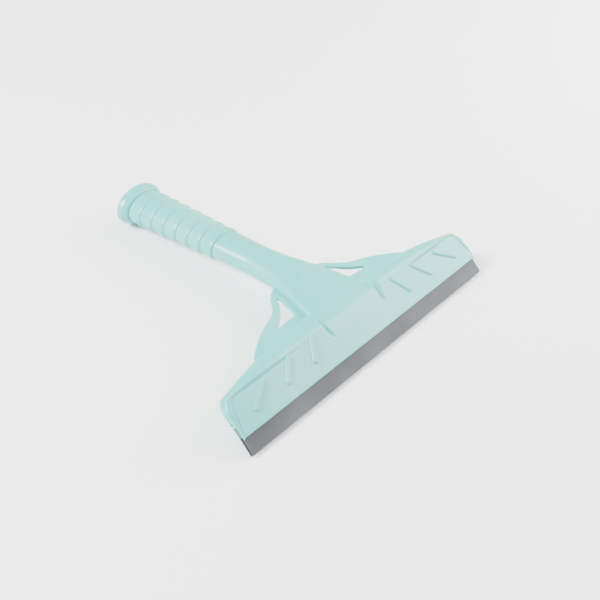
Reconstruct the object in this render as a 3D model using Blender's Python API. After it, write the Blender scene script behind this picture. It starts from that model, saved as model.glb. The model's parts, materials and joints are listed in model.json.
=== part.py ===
"""Window cleaning squeegee: two moulded shells, a ribbed grip with a pole socket, and a
double-lip blade that slides lengthwise in the head's slot.

Tool frame, in which everything is modelled: X runs along the blade, Y from the blade's lip
to the end of the handle, Z out of the front face. Y = 0 is the lip, Z = 0 the handle's axis.
The whole tool is parented to one empty, which lays it down on Z = 0 as it rests on a table:
on the rear lip's edge and on the underside of the end collar.
"""

from math import atan2, cos, pi, radians, sin, sqrt, tan

import bmesh
import bpy
from mathutils import Matrix, Vector

MM = 0.001

# Clearances
FIT = 0.3 * MM                    # between two pieces that touch
PART_GAP = FIT / 2                # each shell's share at the parting surface

# Blade: two lips clamped on a spine
BLADE_LENGTH = 250 * MM
BLADE_TILT = radians(45)          # the blade's plane against the handle's axis
BLADE_REACH = 11 * MM             # how far the lips stand out of the slot
BLADE_GRIPPED = 7 * MM            # how much of a lip is held inside the slot
LIP_THICK = 1.1 * MM
LIP_CHAMFER = 0.35 * MM
SPINE_WEB = 0.5 * MM
SPINE_FLANGE = 1.9 * MM
HOOK_REACH = 0.8 * MM             # how far the spine's hook goes behind the rear lip

# Head
HEAD_SIDE = 0.5 * MM              # how far the head stands past each end of the blade
LIP_DROP = 23.9 * MM              # the lip's depth below the handle's axis
FRONT_WALL = 1.6 * MM             # the slot's front wall at its mouth
REAR_WALL = 1.6 * MM
REAR_INSET = 1.3 * MM             # the rear wall ends this much before the head's side
SHELL_WALL = 1.8 * MM
LEDGE = 1.5 * MM                  # the slot's roof
PANEL_LEAN = 0.1                  # how the panel leans back from the blade's plane
CREASE_Y = 25.1 * MM              # the foot of the ridge
RIDGE_STEP = 1.3 * MM
RIDGE_CROWN = 0.8 * MM
CROWN_SHARE = 0.3                 # the crown's height is reached this far up the ridge
RIDGE_RISE = 1.5 * MM
BEAD = 0.9 * MM                   # the raised border at the head's two sides
BEAD_WIDTH = 4 * MM
BEAD_SLANT = 0.35                 # the share of the border's width taken by its slanted side
CORNER_RADIUS = 6.5 * MM
FALL_START = 75 * MM              # from here outwards the ridge loses height
CORNER_FALL = 4.5 * MM
EDGE_AT_APRON = 42 * MM           # the head's top edge: Y beside the apron, at the arm and corner
EDGE_AT_ARM = 37 * MM
EDGE_AT_CORNER = 29.4 * MM
ARM_X = 82 * MM                   # where the web's arm leaves the head's top edge

# Parting plane of the head and web, and the web plate
PARTING_LIFT = 14.76 * MM         # its height over the lip, straight above the lip
PARTING_SLOPE = 0.152
WEB_THICK = 2.4 * MM

# Fan and neck
APRON_HALF = 27 * MM              # half the gap between the two ridges
APRON_FOOT_Y = 18.5 * MM
APRON_SINK = 0.5 * MM             # the apron lies this far under the panel at the crease
NECK_HALF = 13.5 * MM
OVAL = 0.7                        # thickness over width of the neck and the grip
TENON_LENGTH = 22 * MM
SHOULDER_DRAFT = 0.05 * MM        # the slant of the neck's shoulder over its height

# Grip
GRIP_START = 131.5 * MM
GRIP_RINGS = 7
RING_PITCH = 10.8 * MM
RING_STEP = 0.9 * MM
RING_ROUND = 0.5 * MM             # the rounding of a ring's big end
RING_DRAFT = 0.01 * MM            # the slant of the step between two rings
GRIP_HALF_FRONT = 13.7 * MM
GRIP_HALF_END = 16 * MM
GRIP_WALL = 1.9 * MM
COLLAR_LENGTH = 10 * MM
COLLAR_HALF = 20 * MM
COLLAR_WIDEST = 6.6 * MM          # where along the collar it is widest
SOCKET_DEPTH = 45 * MM
SOCKET_RADIUS = 6.5 * MM
SOCKET_INSET = 0.6 * MM           # how far the sleeve's end lies inside the collar
SOCKET_LEAD = 1.0 * MM            # the widening at its mouth

# Ribs on the panel: top and bottom end of each of the three on one side, (X, Y)
RIBS = (
    ((91.7 * MM, 23.0 * MM), (106.8 * MM, 13.5 * MM)),
    ((66.0 * MM, 25.3 * MM), (77.5 * MM, 14.1 * MM)),
    ((41.0 * MM, 27.0 * MM), (51.3 * MM, 14.3 * MM)),
)
RIB_WIDTH = 2.6 * MM
RIB_HEIGHT = 0.9 * MM
RIB_ROOT = 0.6 * MM               # how far a rib reaches into the panel
RIB_TOP_SHARE = 0.55              # a rib's width at its top against its foot

# Screws
SHELL_SCREWS = ((46 * MM, 32 * MM), (97 * MM, 28 * MM))
SCREW_RADIUS = 1.1 * MM
SCREW_HEAD_RADIUS = 2.3 * MM
SCREW_HEAD = 1.4 * MM
SCREW_LENGTH = 5 * MM
BOSS_RADIUS = 2.9 * MM

MINT = (0.50, 0.71, 0.68, 1.0)
FOAM_GREY = (0.30, 0.31, 0.33, 1.0)
PALE_PLASTIC = (0.62, 0.64, 0.64, 1.0)
STEEL = (0.56, 0.57, 0.58, 1.0)

# The web's arm, from the head's top edge to the neck, and the hole in it
ARM = ((82 * MM, 36.5 * MM), (76 * MM, 42 * MM), (62 * MM, 49.6 * MM), (51 * MM, 54 * MM),
       (41 * MM, 57.5 * MM), (34 * MM, 62.5 * MM), (27.5 * MM, 69.5 * MM), (15 * MM, 76.5 * MM))
HOLE = ((46 * MM, 47.3 * MM), (29 * MM, 48.4 * MM), (24.5 * MM, 66 * MM))
HOLE_BOW = 3.4 * MM               # how far the hole's outer side bows towards the neck
HOLE_ROUND = 1.2 * MM

# Sizes that follow from the ones above
LIP_GAP = SPINE_WEB + 2 * FIT
BLADE_FRONT = -FIT                                # the front lip's face, behind the slot's face
BLADE_REAR = BLADE_FRONT - 2 * LIP_THICK - LIP_GAP
SLOT_REAR = BLADE_REAR - FIT
HEAD_REAR = SLOT_REAR - REAR_WALL
SLOT_MID = SLOT_REAR / 2
PARTING_DROP = LIP_DROP - PARTING_LIFT
LIP_TOP = BLADE_REACH + BLADE_GRIPPED
SPINE_TOP = LIP_TOP + FIT + SPINE_FLANGE
SLOT_TOP = SPINE_TOP + FIT
LEDGE_TOP = SLOT_TOP + LEDGE
HEAD_HALF = BLADE_LENGTH / 2 + HEAD_SIDE
GRIP_END = GRIP_START + GRIP_RINGS * RING_PITCH
TOOL_END = GRIP_END + COLLAR_LENGTH
TENON_END = GRIP_START + TENON_LENGTH


# ---------------------------------------------------------------- curves of the design

def on_blade(height, depth):
    """A point (Y, Z) given by its height above the lip and how far it is before the blade."""
    c = cos(BLADE_TILT)
    s = sin(BLADE_TILT)
    return (height * c - depth * s, -LIP_DROP + height * s + depth * c)


def between(y, stations):
    """Straight interpolation in a list of (Y, value), level before and after it."""
    if y <= stations[0][0]:
        return stations[0][1]
    for (y0, a), (y1, b) in zip(stations, stations[1:]):
        if y <= y1:
            return a + (b - a) * (y - y0) / (y1 - y0)
    return stations[-1][1]


def parting_z(y):
    """Height of the surface where the shells meet: sloped in the head, level in the neck."""
    return min(0.0, PARTING_SLOPE * y - PARTING_DROP)


PANEL_FOOT = on_blade(BLADE_REACH, FRONT_WALL)
PANEL_SLOPE = tan(BLADE_TILT - atan2(PANEL_LEAN, 1))


def panel_z(y):
    """Height of the flat front panel."""
    return PANEL_FOOT[1] + (y - PANEL_FOOT[0]) * PANEL_SLOPE


def top_edge(x):
    """Y of the head's top edge: two straight runs each side and a rounded corner."""
    x = abs(x)
    straight = between(x, ((APRON_HALF, EDGE_AT_APRON), (ARM_X, EDGE_AT_ARM),
                           (HEAD_HALF, EDGE_AT_CORNER)))
    inside = max(x - (HEAD_HALF - CORNER_RADIUS), 0)
    return straight - CORNER_RADIUS + sqrt(max(CORNER_RADIUS ** 2 - inside ** 2, 0))


def crease_y(x):
    """Y of the ridge's foot, which turns down with the edge at the corners."""
    return min(CREASE_Y, top_edge(x) - BEAD_WIDTH)


def bead(x):
    """Height of the border over the panel near the head's sides."""
    inside = HEAD_HALF - abs(x)
    return BEAD * min(max((BEAD_WIDTH - inside) / (BEAD_SLANT * BEAD_WIDTH), 0.0), 1.0)


def corner_fall(x):
    """How much lower the ridge is near the head's sides."""
    share = max(abs(x) - FALL_START, 0) / (HEAD_HALF - FALL_START)
    return CORNER_FALL * share ** 1.3


def ridge_z(x, y):
    """Height of the ridge: a short steep rise from the panel, then a crown down to the edge."""
    foot = crease_y(x)
    edge = top_edge(x)
    rise_end = foot + RIDGE_RISE
    base = panel_z(foot)
    high = base + RIDGE_STEP - corner_fall(x)
    if y < rise_end:
        low = base + bead(x)
        return low + (high - low) * (y - foot) / RIDGE_RISE
    u = (y - rise_end) / (edge - rise_end)
    crown = high + RIDGE_CROWN * min(u / CROWN_SHARE, 1.0)
    floor = parting_z(edge)
    return floor + (crown - floor) * sqrt(max(1 - u ** 3, 0))


# The fan and neck at stations of Y: height on the centre line, half width, squareness of the
# section (2 is an ellipse); then the neck's underside.
FAN_TOP = (
    (APRON_FOOT_Y, panel_z(APRON_FOOT_Y)),
    (CREASE_Y, panel_z(CREASE_Y) - APRON_SINK),
    (33 * MM, 0.9 * MM),
    (43 * MM, 2.7 * MM),
    (54 * MM, 5.0 * MM),
    (66 * MM, 7.6 * MM),
    (79 * MM, 9.2 * MM),
    (104 * MM, 9.1 * MM),
    (GRIP_START, NECK_HALF * OVAL),
)
FAN_HALF = (
    (CREASE_Y, APRON_HALF),
    (42 * MM, 25.6 * MM),
    (54 * MM, 23.0 * MM),
    (66 * MM, 19.4 * MM),
    (79 * MM, 15.4 * MM),
    (104 * MM, 12.8 * MM),
    (GRIP_START, NECK_HALF),
)
FAN_SQUARE = ((30 * MM, 5.0), (42 * MM, 4.4), (54 * MM, 3.0), (79 * MM, 2.3), (90 * MM, 2.0))
UNDER_DEPTH = ((54 * MM, 4.0 * MM), (70 * MM, 7.4 * MM), (86 * MM, 9.2 * MM),
               (GRIP_START, NECK_HALF * OVAL))
UNDER_HALF = ((54 * MM, 12 * MM), (70 * MM, 16.5 * MM), (79 * MM, 15.4 * MM),
              (104 * MM, 12.8 * MM), (GRIP_START, NECK_HALF))
NECK_STATIONS = (36, 42, 48, 54, 60, 66, 72, 79, 90, 104)
FAN_ROOT = 0.5 * MM               # how far the fan's root lies under the apron
SKIRT = 2 * MM                    # how far a half section runs past the parting surface


def front_z(x, y):
    """Height of the head's front face: panel, then apron in the middle or ridge beside it."""
    if abs(x) < APRON_HALF and y > APRON_FOOT_Y:
        return between(y, FAN_TOP)
    if y <= crease_y(x):
        return panel_z(y) + bead(x)
    return ridge_z(x, y)


def grip_half(y):
    """Half width of the grip at the foot of its rings, growing towards the end."""
    return between(y, ((GRIP_START, GRIP_HALF_FRONT), (GRIP_END, GRIP_HALF_END)))


def smooth_line(points, steps=4):
    """A Catmull-Rom curve through the points, both ends included."""
    first = [2 * a - b for a, b in zip(points[0], points[1])]
    last = [2 * a - b for a, b in zip(points[-1], points[-2])]
    p = [first, *points, last]
    line = []
    for i in range(1, len(p) - 2):
        for k in range(steps):
            t = k / steps
            line.append(tuple(
                0.5 * (2 * b + (c - a) * t + (2 * a - 5 * b + 4 * c - d) * t * t
                       + (3 * b - a - 3 * c + d) * t ** 3)
                for a, b, c, d in zip(p[i - 1], p[i], p[i + 1], p[i + 2])))
    line.append(tuple(points[-1]))
    return line


# ---------------------------------------------------------------- mesh helpers

def finish_mesh(name, bm):
    """A mesh from a bmesh, with its faces turned outwards and its round parts smooth."""
    bmesh.ops.recalc_face_normals(bm, faces=bm.faces)
    mesh = bpy.data.meshes.new(name)
    bm.to_mesh(mesh)
    bm.free()
    mesh.shade_smooth()
    mesh.set_sharp_from_angle(angle=radians(30))
    return mesh


def make_node(name, bm, material, parent):
    """One named object of the model, drawn in the tool frame and hung from its empty."""
    mesh = finish_mesh(name, bm)
    mesh.materials.append(material)
    obj = bpy.data.objects.new(name, mesh)
    bpy.context.scene.collection.objects.link(obj)
    obj.parent = parent
    return obj


def make_helper(name, bm, parent):
    """A shape that only feeds a Boolean modifier."""
    obj = bpy.data.objects.new(name, finish_mesh(name, bm))
    bpy.context.scene.collection.objects.link(obj)
    obj.parent = parent
    obj.hide_render = True
    obj.display_type = "WIRE"
    return obj


def combine(obj, other, operation):
    """Add an exact Boolean modifier to a node."""
    mod = obj.modifiers.new(f"{operation.lower()}_{other.name}", "BOOLEAN")
    mod.object = other
    mod.operation = operation
    mod.solver = "EXACT"


def make_material(name, colour, roughness, metallic=0.0):
    """A plain material for a node."""
    mat = bpy.data.materials.new(name)
    mat.use_nodes = True
    shader = mat.node_tree.nodes["Principled BSDF"]
    shader.inputs["Base Color"].default_value = colour
    shader.inputs["Roughness"].default_value = roughness
    shader.inputs["Metallic"].default_value = metallic
    return mat


def loft(rings, closed=False):
    """A skin over rings of equally many points, with flat ends, or closed into a tube."""
    bm = bmesh.new()
    loops = [[bm.verts.new(p) for p in ring] for ring in rings]
    count = len(loops[0])
    pairs = list(zip(loops, loops[1:]))
    if closed:
        pairs.append((loops[-1], loops[0]))
    for a, b in pairs:
        for i in range(count):
            j = (i + 1) % count
            bm.faces.new((a[i], a[j], b[j], b[i]))
    if not closed:
        bm.faces.new(loops[0])
        bm.faces.new(loops[-1])
    bmesh.ops.triangulate(bm, faces=bm.faces, ngon_method="EAR_CLIP")
    return bm


def prism_x(outline, half):
    """A prism along X from an outline of (Y, Z) points."""
    return loft([[(x, y, z) for y, z in outline] for x in (-half, half)])


def prism_z(outline, low, high):
    """A prism along Z from an outline of (X, Y) points."""
    return loft([[(x, y, z) for x, y in outline] for z in (low, high)])


def rod(radius, start, end, sides=16):
    """A closed cylinder between two points."""
    axis = Vector(end) - Vector(start)
    bm = bmesh.new()
    turn = Vector((0, 0, 1)).rotation_difference(axis).to_matrix().to_4x4()
    place = Matrix.Translation((Vector(start) + Vector(end)) / 2)
    bmesh.ops.create_cone(bm, cap_ends=True, segments=sides, radius1=radius, radius2=radius,
                          depth=axis.length, matrix=place @ turn)
    return bm


def gathered(parts):
    """One bmesh holding several separate ones."""
    whole = bmesh.new()
    for bm in parts:
        mesh = bpy.data.meshes.new("part")
        bm.to_mesh(mesh)
        bm.free()
        whole.from_mesh(mesh)
        bpy.data.meshes.remove(mesh)
    return whole


def arc_section(y, half, height, floor, square=2.0, side=1, skirt=0.0, count=14):
    """A half section: a superellipse arc that stands on (side 1) or hangs from (-1) the floor,
    carried past the floor by a skirt that the parting cut takes off again."""
    points = [(half, y, floor - side * skirt)]
    for i in range(count + 1):
        a = pi * i / count
        x = half * abs(cos(a)) ** (2 / square) * (1 if a < pi / 2 else -1)
        z = floor + side * height * abs(sin(a)) ** (2 / square)
        points.append((x, y, z))
    points.append((-half, y, floor - side * skirt))
    return points


def oval(y, half, height, count=36):
    """A full oval ring across the handle."""
    return [(half * cos(2 * pi * i / count), y, height * sin(2 * pi * i / count))
            for i in range(count)]


# ---------------------------------------------------------------- front shell

def head_stations():
    """Places along X at which the head's section is drawn, from one side to the other."""
    step = 0.3 * MM
    side = [APRON_HALF - step, APRON_HALF + step, ARM_X, HEAD_HALF - CORNER_RADIUS]
    side += [HEAD_HALF - BEAD_WIDTH * u for u in (1.0, 0.65, 0.35, 0.12, 0.0)]
    return [-x for x in reversed(side)] + side


def front_section(x):
    """The front shell's section in the head, before it is hollowed."""
    foot = crease_y(x)
    edge = top_edge(x)
    rise_end = foot + RIDGE_RISE
    ys = [PANEL_FOOT[0], min(APRON_FOOT_Y, foot - 2 * MM), foot, rise_end]
    ys += [rise_end + (edge - rise_end) * u for u in (0.3, 0.6, 0.8, 0.93, 0.985)]
    outer = [(y, front_z(x, y)) for y in ys]
    below = parting_z(edge) - 1 * MM
    middle = SLOT_MID + PART_GAP
    back = [(edge, below + 1.6 * MM), (edge, below),
            (on_blade(LEDGE_TOP, middle)[0] + 3 * MM, on_blade(LEDGE_TOP, middle)[1] + 2.3 * MM),
            on_blade(LEDGE_TOP, middle), on_blade(SLOT_TOP, middle), on_blade(SLOT_TOP, 0),
            on_blade(BLADE_REACH, 0)]
    return [(x, y, z) for y, z in outer + back]


def front_hollow():
    """The space inside the front shell above the slot's roof, open towards the rear."""
    half = HEAD_HALF - BEAD_WIDTH
    rings = []
    for x in (-half, -ARM_X, -APRON_HALF - 3 * MM, APRON_HALF + 3 * MM, ARM_X, half):
        reach = top_edge(x) - 1.2 * SHELL_WALL
        drop = SHELL_WALL * sqrt(1 + PANEL_SLOPE ** 2)
        start = on_blade(LEDGE_TOP, SLOT_MID - 2 * MM)
        ceiling = min(panel_z(CREASE_Y) - 0.5 * SHELL_WALL, parting_z(reach) + 3.4 * MM)
        ceiling = max(ceiling - corner_fall(x), parting_z(reach) + 0.5 * MM)
        knee = min(CREASE_Y + (ceiling - panel_z(CREASE_Y) + drop) / PANEL_SLOPE,
                   reach - 0.3 * MM)
        ceiling = min(ceiling, panel_z(knee) - drop)
        low_y = on_blade(LEDGE_TOP, 0)[0] + drop * 0.5
        ring = [start, (low_y, panel_z(low_y) - drop), (knee, ceiling), (reach, ceiling),
                (reach, parting_z(reach) - 3 * MM), (start[0] + 4 * MM, start[1] - 1 * MM)]
        rings.append([(x, y, z) for y, z in ring])
    return loft(rings)


def neck_loft(inset, heights, halves, square, side, first):
    """The half neck from its first station to the grip, or with an inset the space inside."""
    floor_gap = side * PART_GAP
    skirt = SKIRT + inset
    rings = []
    for y in [y * MM for y in NECK_STATIONS if y * MM >= first]:
        floor = parting_z(y) + floor_gap
        height = between(y, heights) - (floor if side > 0 else 0)
        if side > 0 and y < EDGE_AT_APRON:
            height -= FAN_ROOT
        rings.append(arc_section(y, between(y, halves) - inset, max(height - inset, MM), floor,
                                 between(y, square), side, skirt))
    ends = [(GRIP_START - FIT, NECK_HALF, NECK_HALF * OVAL),
            (GRIP_START - FIT + SHOULDER_DRAFT, tenon_half(), tenon_height()),
            (TENON_END, tenon_half(), tenon_height())]
    if inset:
        ends = [(GRIP_START - 8 * MM, NECK_HALF, NECK_HALF * OVAL),
                (GRIP_START - 3 * MM, tenon_half(), tenon_height()),
                (TENON_END + MM, tenon_half(), tenon_height())]
    for y, half, height in ends:
        rings.append(arc_section(y, half - inset, height - inset, floor_gap, side=side,
                                 skirt=skirt))
    return loft(rings)


def tenon_half():
    """Half width of the neck's end that goes into the grip."""
    return GRIP_HALF_FRONT - GRIP_WALL - FIT


def tenon_height():
    """Half height of the same."""
    return GRIP_HALF_FRONT * OVAL - GRIP_WALL - FIT


def rib(top, bottom, sign):
    """A raised bar with round ends that lies on the panel between two points (X, Y)."""
    sides = 8
    lift = Vector((0, -PANEL_SLOPE, 1)).normalized()
    ends = [Vector((sign * x, y, panel_z(y))) for x, y in (top, bottom)]
    along = (ends[0] - ends[1]).normalized()
    across = lift.cross(along)
    outline = []
    for end, outward in ((ends[0], 1), (ends[1], -1)):
        for i in range(sides + 1):
            a = -pi / 2 + pi * i / sides
            outline.append(end + outward * RIB_WIDTH / 2 * (along * cos(a) + across * sin(a)))
    nearest = [min(ends, key=lambda end: (p - end).length) for p in outline]
    foot = [p - lift * RIB_ROOT for p in outline]
    side_top = [p + lift * RIB_HEIGHT / 2 for p in outline]
    back = [end + (p - end) * RIB_TOP_SHARE + lift * RIB_HEIGHT
            for p, end in zip(outline, nearest)]
    return loft([foot, side_top, back])


def screw_places():
    """Each shell screw's X and Y, on both sides."""
    return [(sign * x, y) for x, y in SHELL_SCREWS for sign in (-1, 1)]


def shell_bosses():
    """Bosses under the ridge that take the screws."""
    parts = []
    for x, y in screw_places():
        foot = parting_z(y) + PART_GAP
        parts.append(rod(BOSS_RADIUS, (x, y, foot), (x, y, panel_z(CREASE_Y) - 0.3 * MM)))
    return gathered(parts)


def shell_pilots():
    """Blind holes in the bosses."""
    parts = []
    for x, y in screw_places():
        foot = parting_z(y) - 1 * MM
        tip = parting_z(y) - WEB_THICK - FIT + SCREW_LENGTH + FIT
        parts.append(rod(SCREW_RADIUS + FIT, (x, y, foot), (x, y, tip)))
    return gathered(parts)


def parting_block(side):
    """Everything on the other side of the parting surface, behind the slot's roof."""
    far = TENON_END + 5 * MM
    bend = PARTING_DROP / PARTING_SLOPE
    start = on_blade(LEDGE_TOP, SLOT_MID)[0] + 2 * MM
    line = [(y, parting_z(y) + side * PART_GAP) for y in (start, bend, far)]
    deep = -side * 30 * MM
    return prism_x(line + [(far, deep), (start, deep)], HEAD_HALF + 10 * MM)


def build_front_shell(frame, material):
    """Panel, ridge, ribs, fan and the upper half of the neck, hollow from behind."""
    stations = head_stations()
    shell = make_node("front_shell", loft([front_section(x) for x in stations]), material, frame)
    fan = neck_loft(0, FAN_TOP, FAN_HALF, FAN_SQUARE, 1, 36 * MM)
    combine(shell, make_helper("fan_body", fan, frame), "UNION")
    ribs = [rib(top, bottom, sign) for top, bottom in RIBS for sign in (-1, 1)]
    combine(shell, make_helper("panel_ribs", gathered(ribs), frame), "UNION")
    combine(shell, make_helper("front_hollow", front_hollow(), frame), "DIFFERENCE")
    inside = neck_loft(SHELL_WALL, FAN_TOP, FAN_HALF, FAN_SQUARE, 1, 36 * MM)
    combine(shell, make_helper("front_neck_space", inside, frame), "DIFFERENCE")
    combine(shell, make_helper("front_bosses", shell_bosses(), frame), "UNION")
    combine(shell, make_helper("front_pilots", shell_pilots(), frame), "DIFFERENCE")
    combine(shell, make_helper("front_parting", parting_block(1), frame), "DIFFERENCE")
    return shell


# ---------------------------------------------------------------- rear shell

def in_plate(y, share):
    """A point inside the web plate, by its share of the plate's thickness."""
    return (y, parting_z(y) - share * WEB_THICK)


def plate_outline():
    """Plan outline (X, Y) of the plate: the head's corners and top edge, then the two arms."""
    side = []
    for i in range(7):
        a = pi / 2 * i / 6
        x = HEAD_HALF - CORNER_RADIUS * (1 - cos(a))
        side.append((x, top_edge(x)))
    side += smooth_line(ARM)
    return side + [(-x, y) for x, y in reversed(side)]


def plate_slab():
    """A slab as thick as the web, bent where the parting surface turns level; it stands
    past the parting surface, which is cut later."""
    bend = PARTING_DROP / PARTING_SLOPE
    ys = (0, bend, TENON_END)
    top = [(y, parting_z(y) + MM) for y in ys]
    bottom = [(y, parting_z(y) - WEB_THICK) for y in reversed(ys)]
    return prism_x(top + bottom, HEAD_HALF + 10 * MM)


def arm_holes():
    """The curved-triangle hole in each arm, as prisms."""
    parts = []
    for sign in (-1, 1):
        outer, inner, far = [Vector((sign * x, y)) for x, y in HOLE]
        points = []
        corners = [outer, inner, far]
        for i, corner in enumerate(corners):
            before = (corners[i - 1] - corner).normalized()
            after = (corners[(i + 1) % 3] - corner).normalized()
            points += [corner + before * HOLE_ROUND,
                       corner + (before + after) * HOLE_ROUND * 0.3,
                       corner + after * HOLE_ROUND]
        inward = Vector((-(far - outer).y, (far - outer).x)).normalized()
        if inward.x * sign > 0:
            inward = -inward
        start = points[-1]
        end = points[0]
        for t in (0.2, 0.4, 0.6, 0.8):
            points.append(start.lerp(end, t) + inward * HOLE_BOW * 4 * t * (1 - t))
        parts.append(prism_z([(p.x, p.y) for p in points], -20 * MM, 20 * MM))
    return gathered(parts)


def rear_section(x):
    """The slot's rear wall and roof, with the groove for the spine's hook; its top lies
    inside the plate."""
    hook_rear = BLADE_REAR - HOOK_REACH - FIT
    hook_low = LIP_TOP - 0.1 * MM
    roof = SLOT_MID - PART_GAP
    plate_y = on_blade(LEDGE_TOP + 5 * MM, SLOT_REAR)[0]
    far = min(plate_y + 3 * MM, top_edge(x) - 0.3 * MM)
    near = min(plate_y + 0.8 * MM, far - 0.3 * MM)
    ring = [on_blade(BLADE_REACH, SLOT_REAR), on_blade(hook_low, SLOT_REAR),
            on_blade(hook_low, hook_rear), on_blade(SLOT_TOP, hook_rear),
            on_blade(SLOT_TOP, roof), on_blade(LEDGE_TOP, roof),
            in_plate(near, 0.3), in_plate(far, 0.6), on_blade(BLADE_REACH, HEAD_REAR)]
    return [(x, y, z) for y, z in ring]


def screw_holes():
    """Clearance holes for the shell screws in the plate."""
    parts = [rod(SCREW_RADIUS + FIT, (x, y, -15 * MM), (x, y, 5 * MM)) for x, y in screw_places()]
    return gathered(parts)


def build_rear_shell(frame, material):
    """The web with its two arms, the slot's rear wall and the lower half of the neck."""
    outline = prism_z(plate_outline(), -25 * MM, 15 * MM)
    shell = make_node("rear_shell", outline, material, frame)
    combine(shell, make_helper("plate_slab", plate_slab(), frame), "INTERSECT")
    ends = [HEAD_HALF - REAR_INSET - 2 * MM, HEAD_HALF - REAR_INSET]
    wall = loft([rear_section(x) for x in [-x for x in reversed(ends)] + ends])
    combine(shell, make_helper("slot_wall", wall, frame), "UNION")
    under = neck_loft(0, UNDER_DEPTH, UNDER_HALF, ((0, 2.0),), -1, 54 * MM)
    combine(shell, make_helper("neck_underside", under, frame), "UNION")
    inside = neck_loft(SHELL_WALL, UNDER_DEPTH, UNDER_HALF, ((0, 2.0),), -1, 60 * MM)
    combine(shell, make_helper("rear_neck_space", inside, frame), "DIFFERENCE")
    combine(shell, make_helper("arm_holes", arm_holes(), frame), "DIFFERENCE")
    combine(shell, make_helper("screw_holes", screw_holes(), frame), "DIFFERENCE")
    combine(shell, make_helper("rear_parting", parting_block(-1), frame), "DIFFERENCE")
    return shell


# ---------------------------------------------------------------- grip, collar, socket

def build_grip(frame, material):
    """An oval tube with saw-tooth rings whose steps face the head."""
    outer = []
    for i in range(GRIP_RINGS):
        near = GRIP_START + i * RING_PITCH
        far = near + RING_PITCH
        for y, lift in ((near, 0.55), (near + RING_ROUND, 1.0), (far - RING_DRAFT, 0.0)):
            half = grip_half(y) + lift * RING_STEP
            outer.append(oval(y, half, grip_half(y) * OVAL + lift * RING_STEP))
    inner = [oval(y, grip_half(y) - GRIP_WALL, grip_half(y) * OVAL - GRIP_WALL)
             for y in (GRIP_END - RING_DRAFT, GRIP_START)]
    return make_node("grip", loft(outer + inner, closed=True), material, frame)


def socket_outer(y, shrink):
    """Half width and half height of the space inside the grip, less a clearance."""
    half = grip_half(y) - GRIP_WALL - shrink
    return (half, grip_half(y) * OVAL - GRIP_WALL - shrink)


def build_collar(frame, material):
    """The rounded ring that closes the grip's end."""
    shape = ((FIT, 0.0), (1.4 * MM, 0.45), (3.8 * MM, 0.85), (COLLAR_WIDEST, 1.0),
             (8.6 * MM, 0.85), (COLLAR_LENGTH, 0.3))
    rise = COLLAR_HALF - GRIP_HALF_END
    outer = [oval(GRIP_END + y, GRIP_HALF_END + rise * u, GRIP_HALF_END * OVAL + rise * u * OVAL)
             for y, u in shape]
    inner = [oval(GRIP_END + y, *socket_outer(GRIP_END, 0)) for y in (COLLAR_LENGTH, FIT)]
    return make_node("end_collar", loft(outer + inner, closed=True), material, frame)


def build_socket(frame, material):
    """The sleeve inside the grip and collar that takes an extension pole."""
    near = GRIP_END - SOCKET_DEPTH
    far = TOOL_END - SOCKET_INSET
    outer = [oval(y, *socket_outer(min(y, GRIP_END), FIT)) for y in (near, GRIP_END, far)]
    inner = [oval(far, SOCKET_RADIUS + SOCKET_LEAD, SOCKET_RADIUS + SOCKET_LEAD),
             oval(far - 1.5 * SOCKET_LEAD, SOCKET_RADIUS, SOCKET_RADIUS),
             oval(near, SOCKET_RADIUS, SOCKET_RADIUS)]
    return make_node("pole_socket", loft(outer + inner, closed=True), material, frame)


# ---------------------------------------------------------------- blade

def lip_outline(front, rear):
    """A lip's section, with the front corner of its tip taken off."""
    return [on_blade(LIP_CHAMFER, front), on_blade(LIP_TOP, front), on_blade(LIP_TOP, rear),
            on_blade(0, rear), on_blade(0, front - LIP_CHAMFER)]


def build_blade(slide, rubber, plastic):
    """The two lips, and the spine that lies between them and hooks into the rear wall."""
    half = BLADE_LENGTH / 2
    front = lip_outline(BLADE_FRONT, BLADE_FRONT - LIP_THICK)
    rear = lip_outline(BLADE_REAR + LIP_THICK, BLADE_REAR)
    web_front = BLADE_FRONT - LIP_THICK - FIT
    web_rear = web_front - SPINE_WEB
    shelf = LIP_TOP + FIT
    hook = BLADE_REAR - HOOK_REACH
    spine = [on_blade(BLADE_REACH + MM, web_front), on_blade(shelf, web_front),
             on_blade(shelf, BLADE_FRONT), on_blade(SPINE_TOP, BLADE_FRONT),
             on_blade(SPINE_TOP, hook), on_blade(shelf, hook), on_blade(shelf, web_rear),
             on_blade(BLADE_REACH + MM, web_rear)]
    for name, outline, material in (("front_lip", front, rubber), ("rear_lip", rear, rubber),
                                    ("blade_spine", spine, plastic)):
        node = make_node(name, prism_x(outline, half), material, slide)
        node.matrix_parent_inverse = Matrix.Translation(slide.location).inverted()


# ---------------------------------------------------------------- screws

def screw(base, up, length):
    """A pan-head screw whose head's underside is at the base."""
    base = Vector(base)
    up = Vector(up)
    rings = []
    for radius, reach in ((0.55 * SCREW_HEAD_RADIUS, -SCREW_HEAD),
                          (0.9 * SCREW_HEAD_RADIUS, -0.7 * SCREW_HEAD),
                          (SCREW_HEAD_RADIUS, -0.25 * SCREW_HEAD),
                          (SCREW_HEAD_RADIUS, 0.0), (SCREW_RADIUS, 0.0),
                          (SCREW_RADIUS, length - SCREW_RADIUS), (0.3 * SCREW_RADIUS, length)):
        centre = base + up * reach
        side = Vector((1, 0, 0))
        other = up.cross(side)
        rings.append([centre + radius * (side * cos(2 * pi * i / 16) + other * sin(2 * pi * i / 16))
                      for i in range(16)])
    return loft(rings)


def build_screws(frame, steel):
    """Four screws driven through the web plate from behind."""
    for number, (x, y) in enumerate(screw_places(), 1):
        base = (x, y, parting_z(y) - WEB_THICK - 2 * FIT - SCREW_HEAD_RADIUS * PARTING_SLOPE)
        make_node(f"shell_screw_{number}", screw(base, (0, 0, 1), SCREW_LENGTH - FIT), steel, frame)


# ---------------------------------------------------------------- placing

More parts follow.
